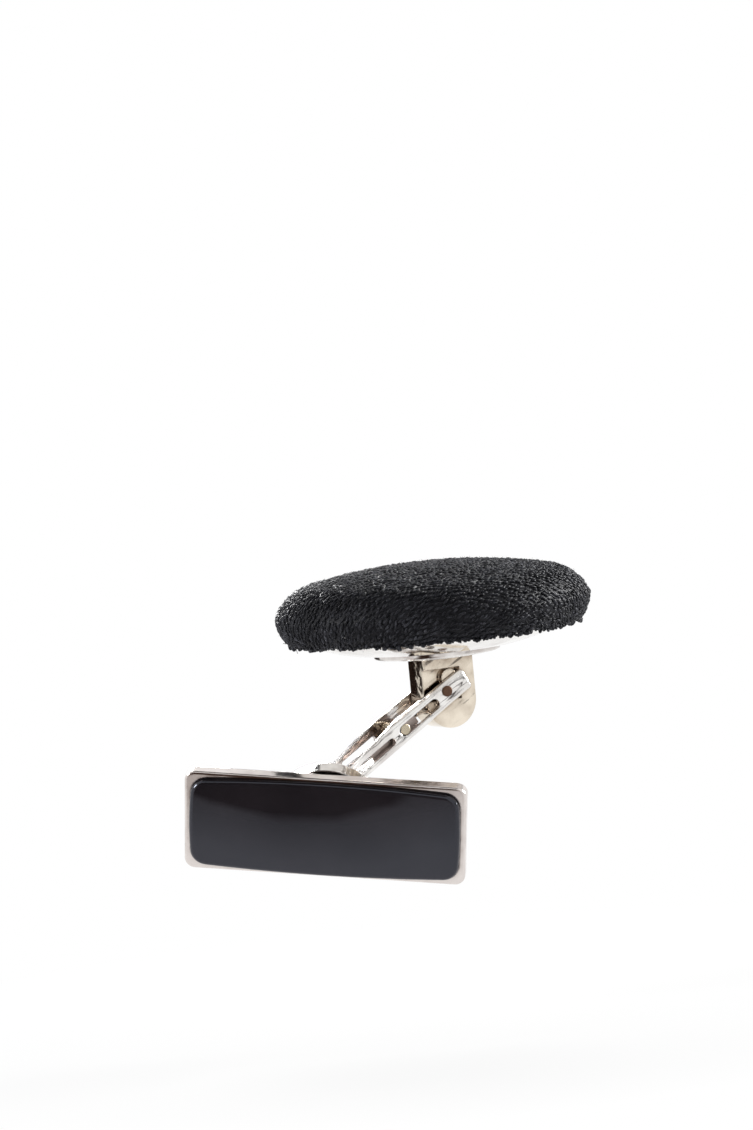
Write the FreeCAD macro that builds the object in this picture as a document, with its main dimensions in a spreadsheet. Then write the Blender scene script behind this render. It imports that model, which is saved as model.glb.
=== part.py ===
"""Cufflink: fabric-covered button, hinged arm and a swivelling enamelled plate.

Millimetres. The origin is the middle of the button's metal back, +Z runs up through the button
and the arm swings in the XZ plane. The pieces stand as in the photograph.
"""
import FreeCAD, Part
import math
import os

import Sketcher

Vector = FreeCAD.Vector

SIZES = {
    # Button
    "button_radius": 10.0,
    "equator_height": 2.6,
    "crown_height": 2.85,
    "crown_edge_inset": 2.0,
    "crown_edge_height": 1.95,
    "shoulder_arc": 2.9,
    "rim_arc": 2.6,
    "hem_inset": 0.8,
    "hem_height": 0.95,
    "fabric_wall": 0.45,
    "wadding_height": 0.5,
    "wadding_edge": 0.15,
    "shell_wall": 0.4,
    "shell_edge_height": 1.15,
    "back_flat_radius": 5.2,
    "back_arc": 13.0,
    "back_wall": 0.45,
    # Post
    "flange_radius": 4.0,
    "flange_thickness": 0.4,
    "step_radius": 2.9,
    "step_thickness": 0.15,
    "edge_round": 0.1,
    "tongue_width": 3.56,
    "tongue_thickness": 2.1,
    "tongue_shift": 0.5,
    "pin_drop": 2.15,
    "tongue_end_drop": 0.62,
    "recess_depth": 0.35,
    "recess_low": 0.6,
    "recess_high": 1.42,
    "boss_shift": 0.47,
    "boss_height": 0.77,
    "boss_radius": 0.57,
    "boss_gap": 0.18,
    # Arm
    "arm_angle": 60.0,
    "pin_shift": 0.32,
    "pin_radius": 0.28,
    "pin_clearance": 0.04,
    "pin_head_radius": 0.34,
    "pin_head_thickness": 0.06,
    "side_clearance": 0.05,
    "sheet_thickness": 0.35,
    "ear_length": 1.75,
    "ear_corner": 0.25,
    "flange_top": 0.53,
    "crest_place": 4.0,
    "crest_height": 0.68,
    "flange_tip": 0.2,
    "flange_bottom": 0.92,
    "channel_gap": 0.86,
    "web_start": 2.65,
    "fold_round": 0.3,
    "wide_slot_start": 0.85,
    "wide_slot_end": 4.2,
    "wide_slot_width": 0.72,
    "long_slot_gap": 0.55,
    "long_slot_margin": 0.9,
    "long_slot_level": 0.22,
    "long_slot_width": 0.5,
    "rivet_margin": 0.45,
    "rivet_level": 0.16,
    "rivet_radius": 0.34,
    "rivet_collar_radius": 0.4,
    "rivet_head_radius": 0.5,
    "rivet_head_thickness": 0.12,
    "rivet_set_back": 0.05,
    "leaf_start": 2.5,
    "leaf_end": 6.4,
    "leaf_top": 0.25,
    "leaf_place": 0.6,
    "leaf_thickness": 0.2,
    # Foot
    "tilt_angle": 48.5,
    "foot_reach": 9.46,
    "eye_radius": 1.1,
    "foot_pin_radius": 0.35,
    "foot_pin_head": 0.15,
    "fork_wall": 0.5,
    "fork_width": 2.0,
    "fork_height": 2.1,
    "pad_radius": 3.4,
    "pad_thickness": 1.3,
    "pad_round": 0.25,
    # Plate
    "swivel_angle": 32.4,
    "stud_radius": 0.6,
    "stud_head_radius": 1.0,
    "stud_head_thickness": 0.35,
    "washer_radius": 1.8,
    "washer_thickness": 0.3,
    "plate_length": 17.45,
    "plate_width": 6.66,
    "plate_height": 0.9,
    "plate_corner": 0.65,
    "plate_edge_round": 0.15,
    "floor_thickness": 0.45,
    "bezel_width": 0.38,
    "inlay_corner": 1.0,
    "cap_inset": 0.1,
    "cap_side_bow": 0.3,
    "cap_end_bow": 0.15,
    "cap_rise": 0.55,
    "cap_crown": 0.2,
    "cap_edge_round": 0.25,
}

doc = FreeCAD.newDocument("cufflink")
sheet = doc.addObject("Spreadsheet::Sheet", "sizes")
for row, (alias, value) in enumerate(SIZES.items(), start=1):
    sheet.set(f"A{row}", alias)
    sheet.set(f"B{row}", str(value))
    sheet.setAlias(f"B{row}", alias)
doc.recompute()


def number(expression):
    """Value of a size expression, read from the sheet."""
    return float(sheet.evalExpression(expression))


def point(x_size, y_size):
    """Sketch point at two size expressions."""
    return Vector(number(x_size), number(y_size), 0)


def plane(body, role):
    """One of a body's own origin planes."""
    return next(item for item in body.Origin.OriginFeatures if item.Role == role)


def new_body(name):
    """Empty body for one piece."""
    body = doc.addObject("PartDesign::Body", name)
    body.Label = name
    return body


def new_sketch(body, role, height="0"):
    """Sketch on an origin plane of the body, raised by a size expression."""
    sketch = body.newObject("Sketcher::SketchObject", f"{body.Name}_sketch")
    sketch.AttachmentSupport = (plane(body, role), [""])
    sketch.MapMode = "FlatFace"
    sketch.setExpression("AttachmentOffset.Base.z", height)
    return sketch


def bind(sketch, kind, *references, size):
    """Constraint whose value follows a size expression."""
    index = sketch.addConstraint(Sketcher.Constraint(kind, *references, number(size)))
    sketch.setExpression(f"Constraints[{index}]", size)


def fix_point(sketch, curve, end, x_size, y_size):
    """Hold one point of a curve at two size expressions, on an axis where the size is 0."""
    for kind, size, axis in (("DistanceX", x_size, -2), ("DistanceY", y_size, -1)):
        if size == "0":
            sketch.addConstraint(Sketcher.Constraint("PointOnObject", curve, end, axis))
        else:
            bind(sketch, kind, -1, 1, curve, end, size=size)


def arc_middle(start, end, radius, turn):
    """Middle of the arc between two points; turn 1 bulges left of the way, -1 right of it."""
    way = end - start
    half = way.Length / 2
    rise = radius - math.sqrt(max(radius * radius - half * half, 0))
    left = Vector(-way.y, way.x, 0).normalize()
    return (start + end) / 2 + left * (rise * turn)


def outline(sketch, *corners):
    """Closed outline through corners (x, y), or (x, y, radius, turn) where an arc leads to the corner."""
    places = [point(*corner[:2]) for corner in corners]
    ends = []
    for index, corner in enumerate(corners):
        start = places[index - 1]
        end = places[index]
        if len(corner) == 2:
            curve = sketch.addGeometry(Part.LineSegment(start, end))
            ends.append((curve, 1, 2))
            continue
        middle = arc_middle(start, end, number(corner[2]), corner[3])
        if corner[3] < 0:
            curve = sketch.addGeometry(Part.Arc(start, middle, end))
            ends.append((curve, 1, 2))
        else:
            curve = sketch.addGeometry(Part.Arc(end, middle, start))
            ends.append((curve, 2, 1))
        bind(sketch, "Radius", curve, size=corner[2])
    for index, corner in enumerate(corners):
        curve, _, last = ends[index]
        following, first, _ = ends[(index + 1) % len(ends)]
        sketch.addConstraint(Sketcher.Constraint("Coincident", curve, last, following, first))
        fix_point(sketch, curve, last, *corner[:2])


def circle(sketch, x_size, y_size, radius):
    """Circle about a point given by size expressions."""
    curve = sketch.addGeometry(Part.Circle(point(x_size, y_size), Vector(0, 0, 1), number(radius)))
    fix_point(sketch, curve, 3, x_size, y_size)
    bind(sketch, "Radius", curve, size=radius)


def slot(sketch, start, end, level, width):
    """Round-ended slot along the sketch's x axis, between two places on a level."""
    half = f"{width} / 2"
    near = f"{start} + {half}"
    far = f"{end} - {half}"
    outline(
        sketch,
        (near, f"{level} - {half}", half, -1),
        (far, f"{level} - {half}"),
        (end, level, half, -1),
        (far, f"{level} + {half}", half, -1),
        (near, f"{level} + {half}"),
        (start, level, half, -1),
    )


def rectangle(sketch, left, low, right, high):
    """Rectangle between two corners."""
    outline(sketch, (left, low), (right, low), (right, high), (left, high))


def turned(name, place, *corners):
    """Solid of revolution about the z axis of a placement, from an outline of radius and height."""
    sketch = doc.addObject("Sketcher::SketchObject", f"{name}_sketch")
    sketch.Placement = place * FreeCAD.Placement(Vector(), FreeCAD.Rotation(Vector(1, 0, 0), 90))
    outline(sketch, *corners)
    piece = doc.addObject("Part::Revolution", name)
    piece.Label = name
    piece.Source = sketch
    piece.Axis = place.Rotation.multVec(Vector(0, 0, 1))
    piece.Base = place.Base
    piece.Angle = 360
    piece.Solid = True
    doc.recompute()
    return piece


def pad(body, sketch, length, backward=False, both_ways=False):
    """Raise a sketch by a size expression."""
    feature = body.newObject("PartDesign::Pad", f"{body.Name}_pad")
    feature.Profile = sketch
    feature.setExpression("Length", length)
    feature.Reversed = backward
    feature.Midplane = both_ways
    doc.recompute()
    return feature


def pocket(body, sketch, depth, backward=False, both_ways=False):
    """Cut a sketch into the body and make sure that it took something away."""
    before = body.Shape.Volume
    feature = body.newObject("PartDesign::Pocket", f"{body.Name}_cut")
    feature.Profile = sketch
    feature.setExpression("Length", depth)
    feature.Reversed = backward
    feature.Midplane = both_ways
    doc.recompute()
    if body.Shape.Volume >= before:
        raise RuntimeError(f"{feature.Name} cuts nothing")
    return feature


def soften(body, base, radius, wanted):
    """Fillet the edges of a feature that a test picks out."""
    names = [f"Edge{index}" for index, edge in enumerate(base.Shape.Edges, start=1) if wanted(edge)]
    feature = body.newObject("PartDesign::Fillet", f"{body.Name}_round")
    feature.Base = (base, names)
    feature.setExpression("Radius", radius)
    doc.recompute()
    return feature


def level(edge, height):
    """True for an edge that lies in the plane z = height."""
    box = edge.BoundBox
    return abs(box.ZMin - height) < 1e-4 and abs(box.ZMax - height) < 1e-4


# Levels and fits that several pieces share
EQUATOR = "sizes.equator_height"
CROWN_TOP = "sizes.equator_height + sizes.crown_height"
CROWN_EDGE = "sizes.equator_height + sizes.crown_edge_height"
SKIN_TOP = f"{CROWN_TOP} - sizes.fabric_wall"
CROWN_EDGE_RADIUS = "sizes.button_radius - sizes.crown_edge_inset"
SKIN_EDGE_RADIUS = f"{CROWN_EDGE_RADIUS} - sizes.fabric_wall"
SKIN_EDGE = f"{CROWN_EDGE} - sizes.fabric_wall"
SKIN_RADIUS = "sizes.button_radius - sizes.fabric_wall"
SKIN_SHOULDER = "sizes.shoulder_arc - sizes.fabric_wall"
SKIN_RIM = "sizes.rim_arc - sizes.fabric_wall"
SHELL_TOP = f"{SKIN_TOP} - sizes.wadding_height"
SHELL_SHOULDER = f"{SKIN_EDGE} - sizes.wadding_edge"
HEM_RADIUS = "sizes.button_radius - sizes.hem_inset"
SHELL_FOOT = f"{HEM_RADIUS} - sizes.fabric_wall"
SHELL_EDGE = "sizes.shell_edge_height"
CROWN_RISE = "(sizes.crown_height - sizes.crown_edge_height)"
SHELL_RISE = f"({CROWN_RISE} - sizes.wadding_height + sizes.wadding_edge)"


def cap_arc(radius, rise):
    """Radius of the arc that rises from a circle of the given radius to a level crown on the axis."""
    return f"(({radius}) * ({radius}) + {rise} * {rise}) / (2 * {rise})"


CROWN_ARC = cap_arc(CROWN_EDGE_RADIUS, CROWN_RISE)
SKIN_ARC = cap_arc(SKIN_EDGE_RADIUS, CROWN_RISE)
SHELL_ARC = cap_arc(SKIN_EDGE_RADIUS, SHELL_RISE)
SHELL_INNER_ARC = cap_arc(f"{SKIN_EDGE_RADIUS} - sizes.shell_wall", SHELL_RISE)

PIN_LEVEL = "-(sizes.flange_thickness + sizes.step_thickness + sizes.pin_drop)"
INNER_HALF = "sizes.tongue_thickness / 2 + sizes.side_clearance"
OUTER_HALF = f"{INNER_HALF} + sizes.sheet_thickness"
WEB_FACE = "sizes.flange_bottom - sizes.sheet_thickness"
WEB_MIDDLE = "sizes.flange_bottom - sizes.sheet_thickness / 2"
CHANNEL_END = "sizes.foot_reach - sizes.channel_gap"
RIVET_PLACE = "sizes.wide_slot_end - sizes.rivet_margin"
FORK_INNER = "sizes.sheet_thickness / 2 + sizes.side_clearance"
FORK_OUTER = f"{FORK_INNER} + sizes.fork_wall"
PAD_FACE = "sizes.fork_height + sizes.fork_wall"
PAD_FRONT = f"{PAD_FACE} + sizes.pad_thickness"
PLATE_BACK = f"{PAD_FRONT} + sizes.washer_thickness"


def placement(origin, axis, angle):
    """Placement from a point, an axis and an angle in degrees."""
    return FreeCAD.Placement(Vector(*origin), FreeCAD.Rotation(Vector(*axis), angle))


# Button frame: the part's own
BUTTON = FreeCAD.Placement()

# Arm frame: x along the arm from the hinge pin, y along the pin, +z towards the web
PIN_PLACE = (-number("sizes.pin_shift"), 0, number(PIN_LEVEL))
ARM = placement(PIN_PLACE, (0, 1, 0), 90 + number("sizes.arm_angle"))

# Foot frame: x along the foot pin, z square to the plate and towards it
FOOT_PLACE = (number("sizes.foot_reach"), 0, number(WEB_MIDDLE))
FOOT_TILT = math.radians(number("sizes.tilt_angle"))
FOOT_TURN = FreeCAD.Rotation(
    Vector(0, 0, 1),
    Vector(-math.sin(FOOT_TILT), -math.cos(FOOT_TILT), 0),
    Vector(math.cos(FOOT_TILT), -math.sin(FOOT_TILT), 0),
    "ZXY",
)
FOOT = ARM * FreeCAD.Placement(Vector(*FOOT_PLACE), FOOT_TURN)

# Plate frame: x along the plate, z out of its enamelled face, origin on its back
PLATE = FOOT * placement((0, 0, number(PLATE_BACK)), (0, 0, 1), 90 - number("sizes.swivel_angle"))


def fabric_cover():
    """Woven cover, pulled over the crown and round the rim."""
    return turned(
        "fabric_cover",
        BUTTON,
        ("0", CROWN_TOP),
        (CROWN_EDGE_RADIUS, CROWN_EDGE, CROWN_ARC, 1),
        ("sizes.button_radius", EQUATOR, "sizes.shoulder_arc", 1),
        (HEM_RADIUS, "sizes.hem_height", "sizes.rim_arc", 1),
        (SHELL_FOOT, SHELL_EDGE),
        (SKIN_RADIUS, EQUATOR, SKIN_RIM, -1),
        (SKIN_EDGE_RADIUS, SKIN_EDGE, SKIN_SHOULDER, -1),
        ("0", SKIN_TOP, SKIN_ARC, -1),
    )


def wadding_disc():
    """Soft lens between the cover and the cap."""
    return turned(
        "wadding_disc",
        BUTTON,
        ("0", SKIN_TOP),
        (SKIN_EDGE_RADIUS, SKIN_EDGE, SKIN_ARC, 1),
        (SKIN_EDGE_RADIUS, SHELL_SHOULDER),
        ("0", SHELL_TOP, SHELL_ARC, -1),
    )


def button_shell():
    """Pressed cap that the fabric is stretched over."""
    return turned(
        "button_shell",
        BUTTON,
        ("0", SHELL_TOP),
        (SKIN_EDGE_RADIUS, SHELL_SHOULDER, SHELL_ARC, 1),
        (SKIN_RADIUS, EQUATOR, SKIN_SHOULDER, 1),
        (SHELL_FOOT, SHELL_EDGE, SKIN_RIM, 1),
        (f"{SHELL_FOOT} - sizes.shell_wall", SHELL_EDGE),
        (f"{SKIN_RADIUS} - sizes.shell_wall", EQUATOR, SKIN_RIM, -1),
        (f"{SKIN_EDGE_RADIUS} - sizes.shell_wall", f"{SHELL_SHOULDER} - sizes.shell_wall", SKIN_SHOULDER, -1),
        ("0", f"{SHELL_TOP} - sizes.shell_wall", SHELL_INNER_ARC, -1),
    )


def back_cup():
    """Dished metal back that closes the cap."""
    return turned(
        "back_cup",
        BUTTON,
        ("0", "0"),
        ("0", "sizes.back_wall"),
        ("sizes.back_flat_radius", "sizes.back_wall"),
        (f"{SHELL_FOOT} - sizes.shell_wall", SHELL_EDGE, "sizes.back_arc", -1),
        (SHELL_FOOT, SHELL_EDGE),
        ("sizes.back_flat_radius", "0", "sizes.back_arc", 1),
    )


def post_flange():
    """Stepped round flange under the back."""
    step_level = "-(sizes.flange_thickness + sizes.step_thickness)"
    return turned(
        "post_flange",
        BUTTON,
        ("0", "0"),
        ("sizes.flange_radius", "0"),
        ("sizes.flange_radius", "sizes.edge_round - sizes.flange_thickness"),
        ("sizes.flange_radius - sizes.edge_round", "-sizes.flange_thickness", "sizes.edge_round", 1),
        ("sizes.step_radius", "-sizes.flange_thickness"),
        ("sizes.step_radius", f"{step_level} + sizes.edge_round"),
        ("sizes.step_radius - sizes.edge_round", step_level, "sizes.edge_round", 1),
        ("0", step_level),
    )


def post_tongue():
    """Flat block with a full-round end, the pin's cross hole and a recess round a boss in its front."""
    body = new_body("post_tongue")
    sketch = new_sketch(body, "XZ_Plane")
    half = "sizes.tongue_width / 2"
    left = f"sizes.tongue_shift - {half}"
    right = f"sizes.tongue_shift + {half}"
    top = "sizes.pin_drop"
    end_centre = "-sizes.tongue_end_drop"
    outline(
        sketch,
        (right, top),
        (left, top),
        (left, end_centre),
        ("sizes.tongue_shift", f"{end_centre} - {half}", half, -1),
        (right, end_centre, half, -1),
    )
    base = pad(body, sketch, "sizes.tongue_thickness", both_ways=True)
    face = number("sizes.tongue_thickness / 2")
    ceiling = number(top)
    soften(
        body,
        base,
        "sizes.edge_round",
        lambda edge: abs(abs(edge.CenterOfMass.y) - face) < 1e-4 and not level(edge, ceiling),
    )
    hole = new_sketch(body, "XZ_Plane")
    circle(hole, "0", "0", "sizes.pin_radius + sizes.pin_clearance")
    pocket(body, hole, "sizes.tongue_thickness * 2", both_ways=True)
    recess = new_sketch(body, "XZ_Plane", "sizes.tongue_thickness / 2")
    rectangle(recess, f"{left} - sizes.boss_gap", "-sizes.recess_low",
              "sizes.boss_shift + sizes.boss_radius + sizes.boss_gap", "sizes.recess_high")
    circle(recess, "sizes.boss_shift", "sizes.boss_height", "sizes.boss_radius")
    pocket(body, recess, "sizes.recess_depth")
    body.Placement = placement(PIN_PLACE, (0, 0, 1), 0)
    return body


def arm_channel():
    """Folded sheet: two slotted flanges, and a web that runs on to an eye."""
    body = new_body("arm_channel")
    web = new_sketch(body, "XY_Plane", WEB_FACE)
    outline(
        web,
        ("sizes.web_start", f"-({OUTER_HALF})"),
        (CHANNEL_END, f"-({OUTER_HALF})"),
        ("sizes.foot_reach", "-sizes.eye_radius"),
        ("sizes.foot_reach + sizes.eye_radius", "0", "sizes.eye_radius", -1),
        ("sizes.foot_reach", "sizes.eye_radius", "sizes.eye_radius", -1),
        (CHANNEL_END, OUTER_HALF),
        ("sizes.web_start", OUTER_HALF),
    )
    pad(body, web, "sizes.sheet_thickness")
    corner = "sizes.ear_corner"
    for offset in (INNER_HALF, f"-({OUTER_HALF})"):
        flange = new_sketch(body, "XZ_Plane", offset)
        outline(
            flange,
            (f"{corner} - sizes.ear_length", "-sizes.flange_top", corner, -1),
            ("sizes.crest_place", "-sizes.crest_height"),
            (CHANNEL_END, "-sizes.flange_tip"),
            (CHANNEL_END, "sizes.flange_bottom"),
            (f"{corner} - sizes.ear_length", "sizes.flange_bottom"),
            ("-sizes.ear_length", f"sizes.flange_bottom - {corner}", corner, -1),
            ("-sizes.ear_length", f"{corner} - sizes.flange_top"),
        )
        base = pad(body, flange, "sizes.sheet_thickness")
    bottom = number("sizes.flange_bottom")
    outer = number(OUTER_HALF)
    soften(
        body,
        base,
        "sizes.fold_round",
        lambda edge: level(edge, bottom) and abs(abs(edge.CenterOfMass.y) - outer) < 1e-4,
    )
    hole = new_sketch(body, "XZ_Plane")
    circle(hole, "0", "0", "sizes.pin_radius")
    pocket(body, hole, f"({OUTER_HALF}) * 4", both_ways=True)
    long_start = "sizes.wide_slot_end + sizes.long_slot_gap"
    long_end = f"{CHANNEL_END} - sizes.long_slot_margin"
    front_cuts = new_sketch(body, "XZ_Plane", OUTER_HALF)
    slot(front_cuts, "sizes.wide_slot_start", "sizes.wide_slot_end", "sizes.rivet_level",
         "sizes.wide_slot_width")
    slot(front_cuts, long_start, long_end, "sizes.long_slot_level", "sizes.long_slot_width")
    pocket(body, front_cuts, "sizes.sheet_thickness * 2")
    rear_cuts = new_sketch(body, "XZ_Plane", f"-({INNER_HALF})")
    circle(rear_cuts, RIVET_PLACE, "sizes.rivet_level", "sizes.rivet_radius")
    slot(rear_cuts, long_start, long_end, "sizes.long_slot_level", "sizes.long_slot_width")
    pocket(body, rear_cuts, "sizes.sheet_thickness * 2")
    eye = new_sketch(body, "XY_Plane", WEB_FACE)
    circle(eye, "sizes.foot_reach", "0", "sizes.foot_pin_radius + sizes.pin_clearance")
    pocket(body, eye, "sizes.sheet_thickness * 2", backward=True)
    body.Placement = ARM
    return body


def cross_pin(name, half_length, radius, head_radius, head_thickness, place):
    """Round pin with a flat head at each end, lying along the z axis of its placement."""
    tip = f"{half_length} + {head_thickness}"
    return turned(
        name,
        place,
        ("0", f"-({tip})"),
        (head_radius, f"-({tip})"),
        (head_radius, f"-({half_length})"),
        (radius, f"-({half_length})"),
        (radius, half_length),
        (head_radius, half_length),
        (head_radius, tip),
        ("0", tip),
    )


def cross_rivet():
    """Rivet in the rear flange, with a collar inside it and a plain end in the front flange's slot."""
    inside = f"-({INNER_HALF})"
    outside = f"-({OUTER_HALF})"
    end = f"{OUTER_HALF} - sizes.rivet_set_back"
    return turned(
        "cross_rivet",
        ARM * placement((number(RIVET_PLACE), 0, number("sizes.rivet_level")), (1, 0, 0), 90),
        ("0", f"{outside} - sizes.rivet_head_thickness"),
        ("sizes.rivet_head_radius", f"{outside} - sizes.rivet_head_thickness"),
        ("sizes.rivet_head_radius", outside),
        ("sizes.rivet_radius", outside),
        ("sizes.rivet_radius", inside),
        ("sizes.rivet_collar_radius", inside),
        ("sizes.rivet_collar_radius", f"{inside} + sizes.rivet_head_thickness"),
        ("sizes.rivet_radius", f"{inside} + sizes.rivet_head_thickness"),
        ("sizes.rivet_radius", end),
        ("0", end),
    )


def leaf_spring():
    """Blade that stands on the web, held by the rivet, with its end facing the tongue's round end."""
    body = new_body("leaf_spring")
    sketch = new_sketch(body, "XZ_Plane", "sizes.leaf_place")
    rectangle(sketch, "sizes.leaf_start", "-sizes.leaf_top", "sizes.leaf_end", WEB_FACE)
    circle(sketch, RIVET_PLACE, "sizes.rivet_level", "sizes.rivet_radius")
    pad(body, sketch, "sizes.leaf_thickness")
    body.Placement = ARM
    return body


def foot_fork():
    """Stirrup with two round-ended cheeks on a base."""
    body = new_body("foot_fork")
    cheeks = new_sketch(body, "YZ_Plane")
    half = "sizes.fork_width / 2"
    outline(
        cheeks,
        (f"-{half}", PAD_FACE),
        (f"-{half}", "0"),
        ("0", f"-{half}", half, -1),
        (half, "0", half, -1),
        (half, PAD_FACE),
    )
    pad(body, cheeks, f"({FORK_OUTER}) * 2", both_ways=True)
    throat = new_sketch(body, "XZ_Plane")
    rectangle(throat, f"-({FORK_INNER})", "-sizes.fork_width", FORK_INNER, "sizes.fork_height")
    pocket(body, throat, "sizes.fork_width * 2", both_ways=True)
    hole = new_sketch(body, "YZ_Plane")
    circle(hole, "0", "0", "sizes.foot_pin_radius")
    pocket(body, hole, f"({FORK_OUTER}) * 4", both_ways=True)
    body.Placement = FOOT
    return body


def foot_pad():
    """Round pad, counterbored for the head of the stud that it turns on."""
    bore = "sizes.stud_radius + sizes.pin_clearance"
    recess = "sizes.stud_head_radius + sizes.pin_clearance"
    recess_floor = f"{PAD_FACE} + sizes.stud_head_thickness + sizes.side_clearance * 2"
    edge = "sizes.pad_radius - sizes.pad_round"
    return turned(
        "foot_pad",
        FOOT,
        (recess, PAD_FACE),
        (edge, PAD_FACE),
        ("sizes.pad_radius", f"{PAD_FACE} + sizes.pad_round", "sizes.pad_round", -1),
        ("sizes.pad_radius", PAD_FRONT),
        (bore, PAD_FRONT),
        (bore, recess_floor),
        (recess, recess_floor),
    )


def swivel_stud():
    """Stud on the plate's back, with a flat head inside the pad."""
    head_low = "-(sizes.washer_thickness + sizes.pad_thickness - sizes.side_clearance)"
    head_high = f"{head_low} + sizes.stud_head_thickness"
    return turned(
        "swivel_stud",
        PLATE,
        ("0", "0"),
        ("sizes.stud_radius", "0"),
        ("sizes.stud_radius", head_high),
        ("sizes.stud_head_radius", head_high),
        ("sizes.stud_head_radius", head_low),
        ("0", head_low),
    )


def swivel_washer():
    """Thin washer that keeps the pad off the plate."""
    body = new_body("swivel_washer")
    sketch = new_sketch(body, "XY_Plane")
    circle(sketch, "0", "0", "sizes.washer_radius")
    circle(sketch, "0", "0", "sizes.stud_radius")
    pad(body, sketch, "sizes.washer_thickness - sizes.side_clearance", backward=True)
    body.Placement = PLATE
    return body


def rounded_rectangle(sketch, half_length, half_width, corner):
    """Rectangle about the origin with round corners."""
    outline(
        sketch,
        (f"-({half_length}) + {corner}", f"-({half_width})", corner, -1),
        (f"{half_length} - {corner}", f"-({half_width})"),
        (half_length, f"-({half_width}) + {corner}", corner, -1),
        (half_length, f"{half_width} - {corner}"),
        (f"{half_length} - {corner}", half_width, corner, -1),
        (f"-({half_length}) + {corner}", half_width),
        (f"-({half_length})", f"{half_width} - {corner}", corner, -1),
        (f"-({half_length})", f"-({half_width}) + {corner}"),
    )


INLAY_HALF_LENGTH = "sizes.plate_length / 2 - sizes.bezel_width"
INLAY_HALF_WIDTH = "sizes.plate_width / 2 - sizes.bezel_width"


def plate_tray():
    """Shallow tray with a raised bezel round its edge."""
    body = new_body("plate_tray")
    block = new_sketch(body, "XY_Plane")
    rounded_rectangle(block, "sizes.plate_length / 2", "sizes.plate_width / 2", "sizes.plate_corner")
    base = pad(body, block, "sizes.plate_height")
    top = number("sizes.plate_height")
    soften(body, base, "sizes.plate_edge_round", lambda edge: level(edge, top) or level(edge, 0))
    well = new_sketch(body, "XY_Plane", "sizes.plate_height")
    rounded_rectangle(well, INLAY_HALF_LENGTH, INLAY_HALF_WIDTH, "sizes.inlay_corner")
    pocket(body, well, "sizes.plate_height - sizes.floor_thickness")
    body.Placement = PLATE
    return body


def enamel_inlay():
    """Enamel that fills the tray and spreads over its bezel in a bowed, crowned cap."""
    body = new_body("enamel_inlay")
    end = f"({INLAY_HALF_LENGTH} - sizes.cap_inset)"
    side = f"({INLAY_HALF_WIDTH} - sizes.cap_inset)"
    end_arc = cap_arc(side, "sizes.cap_end_bow")
    side_arc = cap_arc(end, "sizes.cap_side_bow")
    cap = new_sketch(body, "XY_Plane", "sizes.plate_height")
    outline(
        cap,
        (end, f"-{side}", side_arc, -1),
        (end, side, end_arc, -1),
        (f"-{end}", side, side_arc, -1),
        (f"-{end}", f"-{side}", end_arc, -1),
    )
    base = pad(body, cap, "sizes.cap_rise")
    base = soften(body, base, "sizes.inlay_corner", lambda edge: edge.BoundBox.ZLength > 1e-4)
    shoulder = "sizes.plate_height + sizes.cap_rise - sizes.cap_crown"
    reach = f"({INLAY_HALF_WIDTH} + sizes.cap_side_bow)"
    crown_arc = cap_arc(reach, "sizes.cap_crown")
    over = f"{shoulder} + sizes.cap_rise * 2"
    crown = new_sketch(body, "YZ_Plane")
    outline(
        crown,
        (reach, shoulder, crown_arc, 1),
        (reach, over),
        (f"-{reach}", over),
        (f"-{reach}", shoulder),
        ("0", f"{shoulder} + sizes.cap_crown", crown_arc, 1),
    )
    base = pocket(body, crown, "sizes.plate_length * 2", both_ways=True)
    low = number("sizes.plate_height")
    soften(body, base, "sizes.cap_edge_round", lambda edge: edge.BoundBox.ZMin > low + 1e-4)
    fill = new_sketch(body, "XY_Plane", "sizes.plate_height")
    rounded_rectangle(fill, INLAY_HALF_LENGTH, INLAY_HALF_WIDTH, "sizes.inlay_corner")
    pad(body, fill, "sizes.plate_height - sizes.floor_thickness", backward=True)
    body.Placement = PLATE
    return body


ALONG_PIN = placement((0, 0, 0), (1, 0, 0), 90)
ALONG_FOOT_PIN = placement((0, 0, 0), (0, 1, 0), 90)

pieces = [
    fabric_cover(),
    wadding_disc(),
    button_shell(),
    back_cup(),
    post_flange(),
    post_tongue(),
    arm_channel(),
    cross_pin("hinge_pin", OUTER_HALF, "sizes.pin_radius", "sizes.pin_head_radius",
              "sizes.pin_head_thickness", ARM * ALONG_PIN),
    cross_rivet(),
    leaf_spring(),
    foot_fork(),
    cross_pin("foot_pin", FORK_OUTER, "sizes.foot_pin_radius", "sizes.foot_pin_radius + sizes.foot_pin_head",
              "sizes.foot_pin_head", FOOT * ALONG_FOOT_PIN),
    foot_pad(),
    swivel_stud(),
    swivel_washer(),
    plate_tray(),
    enamel_inlay(),
]
doc.recompute()

for item in doc.Objects:
    if "Invalid" in item.State or "Error" in item.State:
        raise RuntimeError(f"{item.Name} did not build: {item.getStatusString()}")
os.makedirs("parts", exist_ok=True)
for piece in pieces:
    shape = piece.Shape
    if shape.isNull() or not shape.isValid() or len(shape.Solids) != 1:
        raise RuntimeError(f"{piece.Label} is not one valid solid")
for piece in pieces:
    piece.Shape.exportStep(f"parts/{piece.Label}.step")
    box = piece.Shape.optimalBoundingBox()
    print(f"{piece.Label}: {box.XLength:.2f} x {box.YLength:.2f} x {box.ZLength:.2f} mm")
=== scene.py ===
"""Looks of a cufflink: woven black cover with a frayed hem, polished plate metal and glossy enamel.

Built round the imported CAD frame, in metres and in the frame's own place.
"""

import functools
import math

import bmesh
import bpy
from mathutils import Matrix, Vector


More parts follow.
